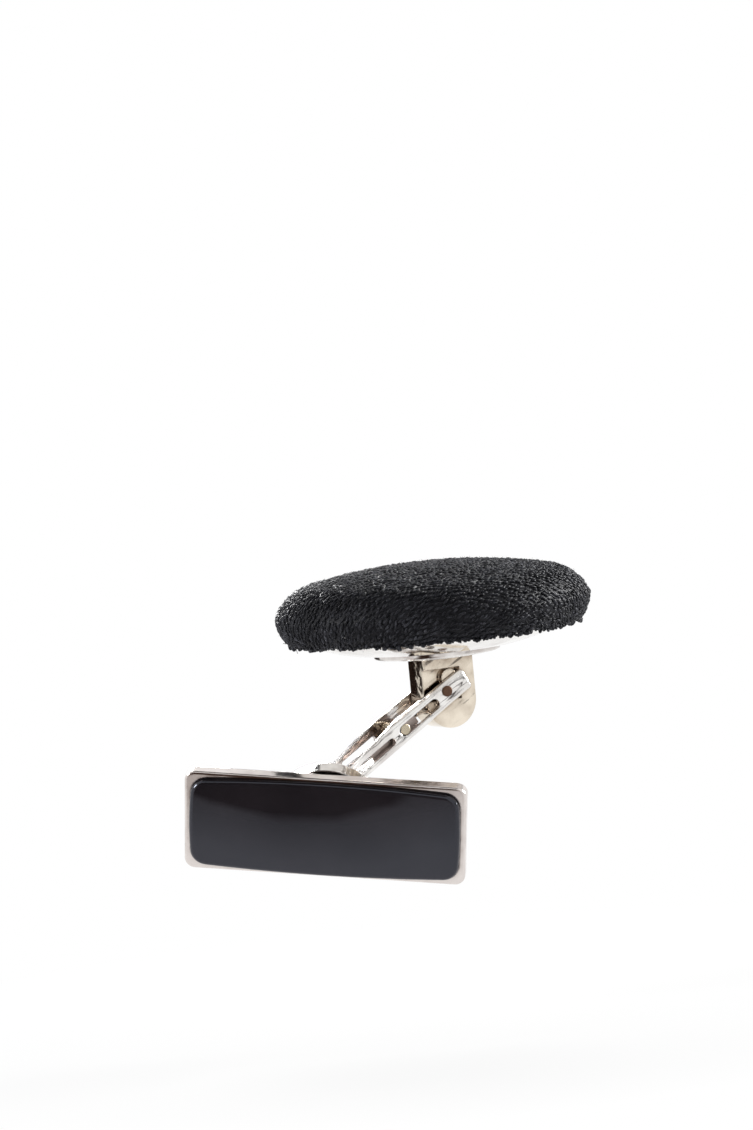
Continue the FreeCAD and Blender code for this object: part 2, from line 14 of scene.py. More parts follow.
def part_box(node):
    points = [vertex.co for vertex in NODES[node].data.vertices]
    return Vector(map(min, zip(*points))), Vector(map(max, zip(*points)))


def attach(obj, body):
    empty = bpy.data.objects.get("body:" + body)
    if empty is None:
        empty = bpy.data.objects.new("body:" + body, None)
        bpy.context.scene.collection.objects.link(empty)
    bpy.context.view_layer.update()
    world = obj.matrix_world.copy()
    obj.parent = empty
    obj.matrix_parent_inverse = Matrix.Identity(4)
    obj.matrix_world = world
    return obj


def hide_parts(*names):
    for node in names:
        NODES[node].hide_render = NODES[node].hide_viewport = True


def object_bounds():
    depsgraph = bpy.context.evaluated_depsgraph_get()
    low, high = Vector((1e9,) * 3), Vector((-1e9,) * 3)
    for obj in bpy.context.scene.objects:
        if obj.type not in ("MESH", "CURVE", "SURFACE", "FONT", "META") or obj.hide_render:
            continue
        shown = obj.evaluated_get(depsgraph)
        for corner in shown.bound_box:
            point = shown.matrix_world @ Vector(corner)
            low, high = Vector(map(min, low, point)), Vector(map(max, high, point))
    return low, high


bl_info = {
    "name": "Fabric cufflink",
    "version": (1, 0, 0),
    "blender": (4, 5, 0),
    "location": "View3D > Sidebar > Cufflink",
    "description": "Dresses a hinged cufflink with cloth, plated metal and enamel",
    "category": "Object",
}

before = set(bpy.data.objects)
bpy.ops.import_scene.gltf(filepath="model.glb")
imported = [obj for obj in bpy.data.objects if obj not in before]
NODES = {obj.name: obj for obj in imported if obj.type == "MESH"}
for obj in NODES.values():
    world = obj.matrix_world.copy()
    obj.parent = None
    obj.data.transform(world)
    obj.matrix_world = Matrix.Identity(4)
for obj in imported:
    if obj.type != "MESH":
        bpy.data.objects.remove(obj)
CAD_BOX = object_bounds()
MM = 0.001
SAME_PLACE = 1e-8  # points no further apart than this become one
COVER_SIDES = 160
PLAIN_SIDES = 96
UPRIGHT = Vector((0.0, 0.0, 1.0))
COVER_LOW, COVER_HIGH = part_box("fabric_cover")
WADDING_LOW, WADDING_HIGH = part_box("wadding_disc")
CARD_LEVEL = CAD_BOX[0].z - 0.1 * MM  # lowest level of the dark cards, just below the plate at rest
CARD_STEP = 0.05 * MM  # between two cards that lie one over the other

# Places of sockets that share their names with others: in a mix of two colours, and in a random number
COLOUR_A, COLOUR_B, MIXED = 6, 7, 2
LEAST, MOST, DRAWN = 2, 3, 1


def linear(hex_code):
    """Linear RGBA of an sRGB hex colour."""
    channels = [int(hex_code[place:place + 2], 16) / 255 for place in (1, 3, 5)]
    return [c / 12.92 if c <= 0.04045 else ((c + 0.055) / 1.055) ** 2.4 for c in channels] + [1.0]


def per_mm(size):
    """Texture scale whose pattern repeats about every size millimetres."""
    return 1 / (size * MM)


def mm(x, y, z):
    """Vector in metres, from millimetres."""
    return Vector((x * MM, y * MM, z * MM))


def length_setting(name, description, default):
    """Length property in metres, from millimetres."""
    return bpy.props.FloatProperty(name=name, description=description, default=default * MM, min=0.0,
                                   precision=6, unit="LENGTH")


def colour_setting(name, description, hex_code):
    """Colour property from an sRGB hex value."""
    return bpy.props.FloatVectorProperty(name=name, description=description, default=linear(hex_code),
                                         size=4, min=0.0, max=1.0, subtype="COLOR")


def angle_setting(name, description, degrees):
    """Angle property from degrees."""
    return bpy.props.FloatProperty(name=name, description=description, default=math.radians(degrees),
                                   subtype="ANGLE")


def count_setting(name, description, default):
    """Whole number property."""
    return bpy.props.IntProperty(name=name, description=description, default=default, min=1)


def amount_setting(name, description, default):
    """Plain number property."""
    return bpy.props.FloatProperty(name=name, description=description, default=default, min=0.0)


class ClothSettings(bpy.types.PropertyGroup):
    """Cover, yarns, hem and fuzz of the button."""
    wall: length_setting("Wall", "Thickness of the ground cloth", 0.3)
    sink: length_setting("Sink", "Depth of the ground cloth under the yarns' tops", 0.13)
    crown_edge: length_setting("Crown edge", "Radius where the crown turns into the shoulder", 8.0)
    crown_fall: length_setting("Crown fall", "Height lost from the crown's top to its edge", 0.9)
    equator: length_setting("Equator", "Height of the widest place over the metal back", 2.6)
    shoulder: length_setting("Shoulder", "Radius of the arc from crown to equator", 2.9)
    rim: length_setting("Rim", "Radius of the arc from equator to hem", 2.6)
    hem_inset: length_setting("Hem inset", "How far the hem lies inside the equator", 0.8)
    row_pitch: length_setting("Row pitch", "Distance between two cords of the weave", 0.34)
    yarn_step: length_setting("Yarn step", "Distance between two twists along a cord", 0.26)
    yarn_length: length_setting("Yarn length", "Length of one visible twist", 0.44)
    yarn_width: length_setting("Yarn width", "Width of one visible twist", 0.18)
    yarn_height: length_setting("Yarn height", "Height of one visible twist", 0.23)
    warp: length_setting("Warp", "How far the cords stray from their line", 1.1)
    slant: angle_setting("Slant", "Angle of the twists to their cord", 32)
    turn: angle_setting("Turn", "Direction of the cords round the button's axis", -28)
    knobs: count_setting("Knobs", "Number of yarn ends round the hem", 440)
    knob_length: length_setting("Knob length", "Length of a yarn end", 0.34)
    knob_width: length_setting("Knob width", "Thickness of a yarn end", 0.24)
    hairs: count_setting("Hairs", "Loose fibres on the cover for each square centimetre", 300)
    hair_length: length_setting("Hair length", "Length of a loose fibre", 0.3)
    hair_width: length_setting("Hair width", "Thickness of a loose fibre", 0.012)
    threads: count_setting("Threads", "Broken threads at the hem for each square centimetre", 60)
    thread_length: length_setting("Thread length", "Length of a broken thread", 0.5)
    thread_width: length_setting("Thread width", "Thickness of a broken thread", 0.036)
    yarn_dark: colour_setting("Yarn shade", "Yarn colour in the hollows", "#0C0C0F")
    yarn_light: colour_setting("Yarn light", "Yarn colour on worn tops", "#57585F")
    lint: colour_setting("Lint", "White fluff caught in the weave", "#E6E4E0")
    lint_shade: colour_setting("Lint shade", "Hollows of the fluff", "#BDBBB8")
    lint_bits: count_setting("Lint bits", "Bits of fluff on the cover for each square centimetre", 2)
    lint_seed: count_setting("Lint seed", "Start of the random numbers for the fluff", 11)
    seed: count_setting("Seed", "Start of the random numbers", 7)


class MetalSettings(bpy.types.PropertyGroup):
    """Plated and bare metal finishes."""
    plate: colour_setting("Plate", "Silver plate", "#F1EFEC")
    # Pink tint and painted shade: a darker copy of the plate colour for the tray, standing in for the darker
    # reflections of its bezel
    pink_shaded: colour_setting("Rosy plate", "Thin silver plate that lets copper through", "#E4DDD9")
    # Painted reflection: a warmer copy of the plate colour for the post's tongue, standing in for the brown
    # that it mirrors
    warm_reflection: colour_setting("Yellowed plate", "Silver plate that is seldom rubbed", "#EEE3D2")
    # Tarnish and painted shade: this brown is laid where ambient occlusion finds corners on the tongue, the
    # rivet and the pin
    tarnish_and_shade: colour_setting("Tarnish", "Brown film in corners that are never rubbed", "#70573F")
    # Also the colour of the painted shade that ambient occlusion lays in the corners of the silver, steel,
    # tray and arm pieces
    breath: colour_setting("Breath", "Thin warm film on the rubbed pieces", "#B0A5A0")
    brass: colour_setting("Brass", "Rivet brass", "#CDC2AC")
    bronze: colour_setting("Bronze", "Browned pin end", "#5E463C")
    steel: colour_setting("Steel", "Spring steel", "#A2938C")


class EnamelSettings(bpy.types.PropertyGroup):
    """Enamel filling of the plate."""
    colour: colour_setting("Enamel", "Black enamel", "#171518")
    haze: colour_setting("Haze", "Enamel where the pour is thinner", "#1E1B1E")
    gloss: colour_setting("Gloss", "Tint of the reflections", "#E6EDFF")


class StageSettings(bpy.types.PropertyGroup):
    """Camera, light, paper and dark cards."""
    azimuth: angle_setting("Azimuth", "Camera direction round the button's axis", -28)
    elevation: angle_setting("Elevation", "Camera height over the horizon", 4)
    roll: angle_setting("Roll", "Turn of the picture", 5.5)
    distance: length_setting("Distance", "Camera to the button", 350)
    picture_height: length_setting("Picture height", "What the frame spans at the button", 71.07)
    aim_right: length_setting("Aim right", "Button's offset to the right of the frame's middle", 3.52)
    aim_down: length_setting("Aim down", "Button's offset below the frame's middle", 2.58)
    shadow_core: length_setting("Shadow core", "Distance within which the shadow is deepest", 14.7)
    shadow_reach: length_setting("Shadow reach", "Distance at which the paper turns pure white", 42)
    shadow_shine: amount_setting("Shadow shine", "Share of the paper's own white in the deepest shadow", 0.75)
    swing_room: length_setting("Swing room", "Height over the paper that the plate needs as it swings", 8.6)
    paper: colour_setting("Paper", "Paper as it throws light back", "#F6F6F6")
    seen_paper: colour_setting("Seen paper", "Paper as it is seen, under its own white", "#BCBCBC")
    black_card: colour_setting("Black card", "Card that the post, the arm and the enamel show", "#1C1513")
    brown_card: colour_setting("Brown card", "Card at the dark end of the room", "#33251F")
    grey_card: colour_setting("Grey card", "Card on the ground in front of the enamel", "#8E8682")
    ambient: amount_setting("Ambient", "Strength of the light from all round", 0.2)
    overhead: amount_setting("Overhead", "Power of the soft box above, in watts", 1.8)
    left: amount_setting("Left", "Power of the soft box at the left, in watts", 0.9)
    right: amount_setting("Right", "Power of the soft box at the right, in watts", 1.35)


def add_node(tree, kind, inputs=None, give=0, **settings):
    """Add a node with its settings, values and links, and return one output, or the node if give is None."""
    node = tree.nodes.new(kind)
    for name, value in settings.items():
        setattr(node, name, value)
    for key, value in (inputs or {}).items():
        if isinstance(value, bpy.types.NodeSocket):
            tree.links.new(value, node.inputs[key])
        else:
            node.inputs[key].default_value = value
    return node if give is None else node.outputs[give]


def emptied(holder):
    """Call that adds a node to the emptied tree of a material or a world."""
    holder.use_nodes = True
    holder.node_tree.nodes.clear()
    return functools.partial(add_node, holder.node_tree)


def new_material(name):
    """Material with an empty tree, and the call that adds a node to it."""
    material = bpy.data.materials.new(name)
    return material, emptied(material)


def new_object(name, mesh, body, material):
    """Object for one piece that rides on a body."""
    piece = bpy.data.objects.new(name, mesh)
    bpy.context.scene.collection.objects.link(piece)
    if material is not None:
        mesh.materials.clear()
        mesh.materials.append(material)
    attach(piece, body)
    return piece


def arc_points(start, end, radius, count):
    """Points on the arc from start to end that bulges to the left of the way, without the start."""
    start, end = Vector(start), Vector(end)
    way = end - start
    left = Vector((-way.y, way.x)).normalized()
    centre = (start + end) / 2 - left * math.sqrt(radius * radius - way.length_squared / 4)
    first = math.atan2(*(start - centre).yx)
    turn = (end - centre).angle(start - centre)
    angles = [first - turn * step / count for step in range(1, count + 1)]
    return [centre + radius * Vector((math.cos(angle), math.sin(angle))) for angle in angles]


def cover_profile(cloth, depth):
    """Radius and height along the cover from its middle to its hem, a depth under the outer face."""
    top = COVER_HIGH.z
    fall = cloth.crown_fall
    edge = cloth.crown_edge
    crown = (edge * edge + fall * fall) / (2 * fall)
    widest = COVER_HIGH.x
    hem = (widest - cloth.hem_inset, COVER_LOW.z)
    crown_steps, shoulder_steps, rim_steps = 20, 14, 10
    points = [Vector((0.0, top))]
    points += arc_points(points[0], (edge, top - fall), crown, crown_steps)
    points += arc_points(points[-1], (widest, cloth.equator), cloth.shoulder, shoulder_steps)
    points += arc_points(points[-1], hem, cloth.rim, rim_steps)
    sunk = []
    for index, spot in enumerate(points):
        before = points[max(index - 1, 0)]
        after = points[min(index + 1, len(points) - 1)]
        way = (after - before).normalized()
        if index == 0:  # the crown is level in its middle
            way = Vector((1.0, 0.0))
        sunk.append(spot - depth * Vector((-way.y, way.x)))
    return sunk


def turned_mesh(name, profile, sides):
    """Mesh from an outline of radius and height, turned about Z, with faces outwards and shaded smooth."""
    shell = bmesh.new()
    rings = []
    for radius, height in profile:
        ring = []
        for side in range(sides):
            angle = 2 * math.pi * side / sides
            ring.append(shell.verts.new((radius * math.cos(angle), radius * math.sin(angle), height)))
        rings.append(ring)
    for low, high in zip(rings, rings[1:]):
        for side in range(sides):
            following = (side + 1) % sides
            shell.faces.new((low[side], low[following], high[following], high[side]))
    bmesh.ops.remove_doubles(shell, verts=shell.verts, dist=SAME_PLACE)
    bmesh.ops.recalc_face_normals(shell, faces=shell.faces)
    mesh = bpy.data.meshes.new(name)
    shell.to_mesh(mesh)
    shell.free()
    mesh.shade_smooth()
    return mesh


def profile_curve(profile):
    """Poly curve of a profile in the XZ plane, for a tree to sample."""
    curve = bpy.data.curves.new("cover_profile", "CURVE")
    curve.dimensions = "3D"
    spline = curve.splines.new("POLY")
    spline.points.add(len(profile) - 1)
    for knot, (radius, height) in zip(spline.points, profile):
        knot.co = (radius, 0.0, height, 1.0)
    holder = bpy.data.objects.new("cover_profile", curve)
    bpy.context.scene.collection.objects.link(holder)
    return holder


def new_tree(name, inputs):
    """Geometry node tree with named inputs, the call that adds a node to it, and its inputs' sockets."""
    tree = bpy.data.node_groups.new(name, "GeometryNodeTree")
    tree.interface.new_socket("Geometry", in_out="OUTPUT", socket_type="NodeSocketGeometry")
    for label, kind in inputs.items():
        tree.interface.new_socket(label, in_out="INPUT", socket_type=f"NodeSocket{kind}")
    add = functools.partial(add_node, tree)
    return tree, add, add("NodeGroupInput", give=None).outputs


def grown(name, tree, values):
    """Piece of the cloth, with the plain mesh that a tree makes from the given inputs."""
    holder = bpy.data.objects.new(name, bpy.data.meshes.new(name))
    bpy.context.scene.collection.objects.link(holder)
    modifier = holder.modifiers.new(name, "NODES")
    modifier.node_group = tree
    for item in tree.interface.items_tree:
        if item.in_out == "INPUT":
            modifier[item.identifier] = values[item.name]
    graph = bpy.context.evaluated_depsgraph_get()
    mesh = bpy.data.meshes.new_from_object(holder.evaluated_get(graph), depsgraph=graph)
    mesh.name = name
    mesh.shade_smooth()
    bpy.data.objects.remove(holder)
    return new_object(name, mesh, "button", None)


def yarn_tree():
    """Tree that lays twisted yarns in cords over the cover, as a flat cloth wrapped along the profile."""
    tree, add, given = new_tree("woven_yarns", {
        "Profile": "Object", "Row Pitch": "Float", "Yarn Step": "Float", "Yarn Length": "Float",
        "Yarn Width": "Float", "Yarn Height": "Float", "Warp": "Float", "Slant": "Float", "Turn": "Float",
        "Cloth Radius": "Float", "Seed": "Int", "Material": "Material",
    })
    # Flat grid of twists, each cord staggered by a share of a step, and led astray by a slow noise
    stagger = 0.37
    span = add("ShaderNodeMath", {0: given["Cloth Radius"], 1: 2.0}, operation="MULTIPLY")
    across = add("ShaderNodeMath", {0: span, 1: given["Yarn Step"]}, operation="DIVIDE")
    rows = add("ShaderNodeMath", {0: span, 1: given["Row Pitch"]}, operation="DIVIDE")
    grid = add("GeometryNodeMeshGrid", {
        "Size X": span, "Size Y": span, "Vertices X": across, "Vertices Y": rows,
    })
    position = add("GeometryNodeInputPosition")
    height = add("ShaderNodeSeparateXYZ", {0: position}, give="Y")
    row = add("ShaderNodeMath", {0: height, 1: given["Row Pitch"]}, operation="DIVIDE")
    row = add("ShaderNodeMath", {0: row}, operation="ROUND")
    share = add("ShaderNodeMath", {0: row, 1: stagger}, operation="MULTIPLY")
    share = add("ShaderNodeMath", {0: share}, operation="FRACT")
    shift = add("ShaderNodeMath", {0: share, 1: given["Yarn Step"]}, operation="MULTIPLY")
    stray = add("ShaderNodeTexNoise", {"Vector": position, "Scale": per_mm(2.6), "Detail": 2.0}, give="Color")
    stray = add("ShaderNodeVectorMath", {0: stray, 1: (0.5, 0.5, 0.5)}, operation="SUBTRACT")
    stray = add("ShaderNodeVectorMath", {0: stray, "Scale": given["Warp"]}, operation="SCALE")
    stray = add("ShaderNodeVectorMath", {0: stray, 1: (1.0, 1.0, 0.0)}, operation="MULTIPLY")
    wobble = add("FunctionNodeRandomValue", {
        "Min": mm(-0.08, -0.08, 0.0), "Max": mm(0.08, 0.08, 0.0), "Seed": given["Seed"],
    }, data_type="FLOAT_VECTOR")
    offset = add("ShaderNodeCombineXYZ", {0: shift})
    offset = add("ShaderNodeVectorMath", {0: offset, 1: wobble}, operation="ADD")
    offset = add("ShaderNodeVectorMath", {0: offset, 1: stray}, operation="ADD")
    points = add("GeometryNodeSetPosition", {"Geometry": grid, "Offset": offset})

    # Only what lies on the cloth stays
    spot = add("GeometryNodeInputPosition")
    reach = add("ShaderNodeVectorMath", {0: spot}, give="Value", operation="LENGTH")
    beyond = add("FunctionNodeCompare", {0: reach, 1: given["Cloth Radius"]}, operation="GREATER_THAN")
    points = add("GeometryNodeDeleteGeometry", {"Geometry": points, "Selection": beyond})

    # Place on the cover for each point of the flat cloth
    heading = add("ShaderNodeVectorMath", {0: spot}, operation="NORMALIZE")
    around = add("ShaderNodeVectorMath", {0: UPRIGHT, 1: heading}, operation="CROSS_PRODUCT")
    profile = add("GeometryNodeObjectInfo", {0: given["Profile"]}, give="Geometry")
    sample = add("GeometryNodeSampleCurve", {"Curves": profile, "Length": reach}, give=None, mode="LENGTH",
                 use_all_curves=True).outputs
    at = add("ShaderNodeSeparateXYZ", {0: sample["Position"]}, give=None).outputs
    way = add("ShaderNodeSeparateXYZ", {0: sample["Tangent"]}, give=None).outputs
    place = add("ShaderNodeVectorMath", {
        0: heading, 1: at["X"], 2: add("ShaderNodeCombineXYZ", {2: at["Z"]}),
    }, operation="MULTIPLY_ADD")
    out = add("ShaderNodeVectorMath", {
        0: heading, 1: way["X"], 2: add("ShaderNodeCombineXYZ", {2: way["Z"]}),
    }, operation="MULTIPLY_ADD")
    normal = add("ShaderNodeVectorMath", {0: out, 1: around}, operation="CROSS_PRODUCT")

    # Direction of each twist, squeezed with the cloth towards the rim
    sway = add("FunctionNodeRandomValue", {LEAST: -0.4, MOST: 0.4, "Seed": given["Seed"]}, give=DRAWN)
    angle = add("ShaderNodeMath", {0: given["Slant"], 1: sway}, operation="ADD")
    lay = add("ShaderNodeCombineXYZ", {
        0: add("ShaderNodeMath", {0: angle}, operation="COSINE"),
        1: add("ShaderNodeMath", {0: angle}, operation="SINE"),
    })
    radial = add("ShaderNodeVectorMath", {0: lay, 1: heading}, give="Value", operation="DOT_PRODUCT")
    sideways = add("ShaderNodeVectorMath", {0: lay, 1: around}, give="Value", operation="DOT_PRODUCT")
    ease = add("ShaderNodeMath", {0: at["X"], 1: reach}, operation="DIVIDE")
    sideways = add("ShaderNodeMath", {0: sideways, 1: ease}, operation="MULTIPLY")
    along = add("ShaderNodeVectorMath", {0: out, "Scale": radial}, operation="SCALE")
    along = add("ShaderNodeVectorMath", {0: around, 1: sideways, 2: along}, operation="MULTIPLY_ADD")
    facing = add("FunctionNodeAxesToRotation", {"Primary Axis": along, "Secondary Axis": normal},
                 primary_axis="Z", secondary_axis="X")
    tone = add("FunctionNodeRandomValue", {LEAST: 0.0, MOST: 1.0, "Seed": 3}, give=DRAWN)
    points = add("GeometryNodeStoreNamedAttribute", {"Geometry": points, "Name": "yarn_tone", "Value": tone},
                 data_type="FLOAT", domain="POINT")
    points = add("GeometryNodeStoreNamedAttribute", {
        "Geometry": points, "Name": "yarn_facing", "Value": facing,
    }, data_type="QUATERNION", domain="POINT")
    lift = add("FunctionNodeRandomValue", {LEAST: -0.05 * MM, MOST: 0.03 * MM, "Seed": 11}, give=DRAWN)
    place = add("ShaderNodeVectorMath", {0: normal, 1: lift, 2: place}, operation="MULTIPLY_ADD")
    points = add("GeometryNodeSetPosition", {"Geometry": points, "Position": place})

    # One twist on each point
    kept = add("GeometryNodeInputNamedAttribute", {"Name": "yarn_facing"}, data_type="QUATERNION")
    size = add("FunctionNodeRandomValue", {"Min": (0.75, 0.75, 0.7), "Max": (1.15, 1.2, 1.25), "Seed": 5},
               data_type="FLOAT_VECTOR")
    grain = add("GeometryNodeMeshUVSphere", {"Segments": 5, "Rings": 4, "Radius": 0.5})
    shape = add("ShaderNodeCombineXYZ", {
        0: given["Yarn Height"], 1: given["Yarn Width"], 2: given["Yarn Length"],
    })
    grain = add("GeometryNodeTransform", {"Geometry": grain, "Scale": shape})
    yarns = add("GeometryNodeInstanceOnPoints", {
        "Points": points, "Instance": grain, "Rotation": kept, "Scale": size,
    })
    spin = add("ShaderNodeCombineXYZ", {2: given["Turn"]})
    yarns = add("GeometryNodeTransform", {"Geometry": yarns, "Rotation": spin})
    yarns = add("GeometryNodeRealizeInstances", {0: yarns})
    yarns = add("GeometryNodeSetMaterial", {"Geometry": yarns, "Material": given["Material"]})
    add("NodeGroupOutput", {0: yarns}, give=None)
    return tree


def hem_tree():
    """Tree that sets cut yarn ends round the hem, leaning every way."""
    tree, add, given = new_tree("frayed_hem", {
        "Hem Radius": "Float", "Hem Level": "Float", "Knobs": "Int", "Knob Length": "Float",
        "Knob Width": "Float", "Seed": "Int", "Material": "Material",
    })
    ring = add("GeometryNodeMeshCircle", {"Vertices": given["Knobs"], "Radius": given["Hem Radius"]},
               fill_type="NONE")
    position = add("GeometryNodeInputPosition")
    heading = add("ShaderNodeVectorMath", {0: position}, operation="NORMALIZE")
    around = add("ShaderNodeVectorMath", {0: UPRIGHT, 1: heading}, operation="CROSS_PRODUCT")

    # Uneven edge: slow waves of the cut, and each end a little out of line
    wave = add("ShaderNodeTexNoise", {"Vector": position, "Scale": per_mm(1.8), "Detail": 3.0})
    wave = add("ShaderNodeMapRange", {
        "Value": wave, "From Min": 0.3, "From Max": 0.7, "To Min": -0.12 * MM, "To Max": 0.14 * MM,
    })
    jitter = add("FunctionNodeRandomValue", {
        "Min": mm(-0.16, -0.08, -0.1), "Max": mm(0.1, 0.08, 0.08), "Seed": given["Seed"],
    }, data_type="FLOAT_VECTOR")
    parts = add("ShaderNodeSeparateXYZ", {0: jitter}, give=None).outputs
    level = add("ShaderNodeMath", {0: parts["Z"], 1: given["Hem Level"]}, operation="ADD")
    level = add("ShaderNodeMath", {0: level, 1: wave}, operation="ADD")
    place = add("ShaderNodeVectorMath", {
        0: heading, 1: parts["X"], 2: add("ShaderNodeCombineXYZ", {2: level}),
    }, operation="MULTIPLY_ADD")
    place = add("ShaderNodeVectorMath", {0: around, 1: parts["Y"], 2: place}, operation="MULTIPLY_ADD")

    # Lean: mostly down, some outwards, many along the edge
    lean = add("FunctionNodeRandomValue", {"Min": (-0.5, -1.6, -1.0), "Max": (0.7, 1.6, -0.3), "Seed": 17},
               data_type="FLOAT_VECTOR")
    lean = add("ShaderNodeSeparateXYZ", {0: lean}, give=None).outputs
    along = add("ShaderNodeVectorMath", {
        0: heading, 1: lean["X"], 2: add("ShaderNodeCombineXYZ", {2: lean["Z"]}),
    }, operation="MULTIPLY_ADD")
    along = add("ShaderNodeVectorMath", {0: around, 1: lean["Y"], 2: along}, operation="MULTIPLY_ADD")
    facing = add("FunctionNodeAxesToRotation", {"Primary Axis": along, "Secondary Axis": heading},
                 primary_axis="Z", secondary_axis="X")
    tone = add("FunctionNodeRandomValue", {LEAST: 0.0, MOST: 0.8, "Seed": 23}, give=DRAWN)
    points = add("GeometryNodeStoreNamedAttribute", {"Geometry": ring, "Name": "yarn_tone", "Value": tone},
                 data_type="FLOAT", domain="POINT")
    points = add("GeometryNodeStoreNamedAttribute", {
        "Geometry": points, "Name": "yarn_facing", "Value": facing,
    }, data_type="QUATERNION", domain="POINT")
    points = add("GeometryNodeSetPosition", {"Geometry": points, "Offset": place})
    kept = add("GeometryNodeInputNamedAttribute", {"Name": "yarn_facing"}, data_type="QUATERNION")
    size = add("FunctionNodeRandomValue", {"Min": (0.5, 0.5, 0.6), "Max": (1.5, 1.5, 1.5), "Seed": 29},
               data_type="FLOAT_VECTOR")
    grain = add("GeometryNodeMeshUVSphere", {"Segments": 6, "Rings": 5, "Radius": 0.5})
    shape = add("ShaderNodeCombineXYZ", {
        0: given["Knob Width"], 1: given["Knob Width"], 2: given["Knob Length"],
    })
    grain = add("GeometryNodeTransform", {"Geometry": grain, "Scale": shape})
    ends = add("GeometryNodeInstanceOnPoints", {
        "Points": points, "Instance": grain, "Rotation": kept, "Scale": size,
    })
    ends = add("GeometryNodeRealizeInstances", {0: ends})
    ends = add("GeometryNodeSetMaterial", {"Geometry": ends, "Material": given["Material"]})
    add("NodeGroupOutput", {0: ends}, give=None)
    return tree


def fibre_tree():
    """Tree that scatters bent fibres over a skin, leaning close to it."""
    tree, add, given = new_tree("loose_fibres", {
        "Skin": "Object", "Density": "Float", "Length": "Float", "Width": "Float", "Seed": "Int",
        "Material": "Material",
    })
    skin = add("GeometryNodeObjectInfo", {0: given["Skin"]}, give="Geometry")
    spread = add("GeometryNodeDistributePointsOnFaces", {
        "Mesh": skin, "Density": given["Density"], "Seed": given["Seed"],
    }, give=None, distribute_method="RANDOM").outputs
    tilt = add("FunctionNodeRandomValue", {LEAST: 1.1, MOST: 1.5, "Seed": 31}, give=DRAWN)
    spin = add("FunctionNodeRandomValue", {LEAST: 0.0, MOST: 2 * math.pi, "Seed": 37}, give=DRAWN)
    turn = add("ShaderNodeCombineXYZ", {0: tilt, 2: spin})
    turn = add("FunctionNodeEulerToRotation", {0: turn})
    turn = add("FunctionNodeRotateRotation", {"Rotation": spread["Rotation"], "Rotate By": turn},
               rotation_space="LOCAL")
    bend = add("GeometryNodeCurveQuadraticBezier", {
        "Resolution": 4, "Start": (0.0, 0.0, -0.1), "Middle": (0.0, 0.05, 0.5), "End": (0.3, 0.3, 0.85),
    })
    thickness = add("ShaderNodeMath", {0: given["Width"], 1: given["Length"]}, operation="DIVIDE")
    radius = add("ShaderNodeMath", {0: thickness, 1: 0.5}, operation="MULTIPLY")
    ring = add("GeometryNodeCurvePrimitiveCircle", {"Resolution": 3, "Radius": radius})
    fibre = add("GeometryNodeCurveToMesh", {"Curve": bend, "Profile Curve": ring, "Fill Caps": True})
    size = add("FunctionNodeRandomValue", {LEAST: 0.5, MOST: 1.3, "Seed": 41}, give=DRAWN)
    size = add("ShaderNodeMath", {0: size, 1: given["Length"]}, operation="MULTIPLY")
    fibres = add("GeometryNodeInstanceOnPoints", {
        "Points": spread["Points"], "Instance": fibre, "Rotation": turn, "Scale": size,
    })
    fibres = add("GeometryNodeRealizeInstances", {0: fibres})
    fibres = add("GeometryNodeSetMaterial", {"Geometry": fibres, "Material": given["Material"]})
    add("NodeGroupOutput", {0: fibres}, give=None)
    return tree


def cloth_material(cloth):
    """Worsted yarn, dyed black: dull and fibrous, greyer in fine random specks, from twist to twist and in
    broad patches.
    """
    material, add = new_material("worsted_yarn")
    place = add("ShaderNodeTexCoord", give="Object")
    tone = add("ShaderNodeAttribute", give="Fac", attribute_name="yarn_tone")
    fibres = add("ShaderNodeTexNoise", {"Vector": place, "Scale": per_mm(0.07), "Detail": 3.0})
    blotch = add("ShaderNodeTexNoise", {"Vector": place, "Scale": per_mm(2.4), "Detail": 3.0})
    worn = add("ShaderNodeMapRange", {"Value": fibres, "From Min": 0.35, "From Max": 0.7})
    uneven = add("ShaderNodeMapRange", {"Value": tone, "From Min": 0.2, "To Min": 0.25})
    patchy = add("ShaderNodeMapRange", {"Value": blotch, "From Min": 0.3, "From Max": 0.7, "To Min": 0.45})
    light = add("ShaderNodeMath", {0: worn, 1: uneven}, operation="MULTIPLY")
    light = add("ShaderNodeMath", {0: light, 1: patchy}, operation="MULTIPLY")
    colour = add("ShaderNodeMix", {0: light, COLOUR_A: cloth.yarn_dark, COLOUR_B: cloth.yarn_light},
                 give=MIXED, data_type="RGBA")
    relief = add("ShaderNodeBump", {"Height": fibres, "Distance": 0.03 * MM})
    surface = add("ShaderNodeBsdfPrincipled", {
        "Base Color": colour, "Normal": relief, "Roughness": 0.33, "Specular IOR Level": 0.09,
    })
    add("ShaderNodeOutputMaterial", {"Surface": surface}, give=None)
    return material


def lint_material(cloth):
    """Cotton fluff: white and matt."""
    material, add = new_material("cotton_lint")
    place = add("ShaderNodeTexCoord", give="Object")
    fluff = add("ShaderNodeTexNoise", {"Vector": place, "Scale": per_mm(0.1), "Detail": 2.0})
    colour = add("ShaderNodeMix", {0: fluff, COLOUR_A: cloth.lint_shade, COLOUR_B: cloth.lint},
                 give=MIXED, data_type="RGBA")
    surface = add("ShaderNodeBsdfPrincipled", {"Base Color": colour, "Roughness": 0.9})
    add("ShaderNodeOutputMaterial", {"Surface": surface}, give=None)
    return material


def skin_object(profile):
    """Short-lived object with the open skin of a turned profile, for fibres to grow on."""
    skin = bpy.data.objects.new("skin", turned_mesh("skin", profile, PLAIN_SIDES))
    bpy.context.scene.collection.objects.link(skin)
    return skin


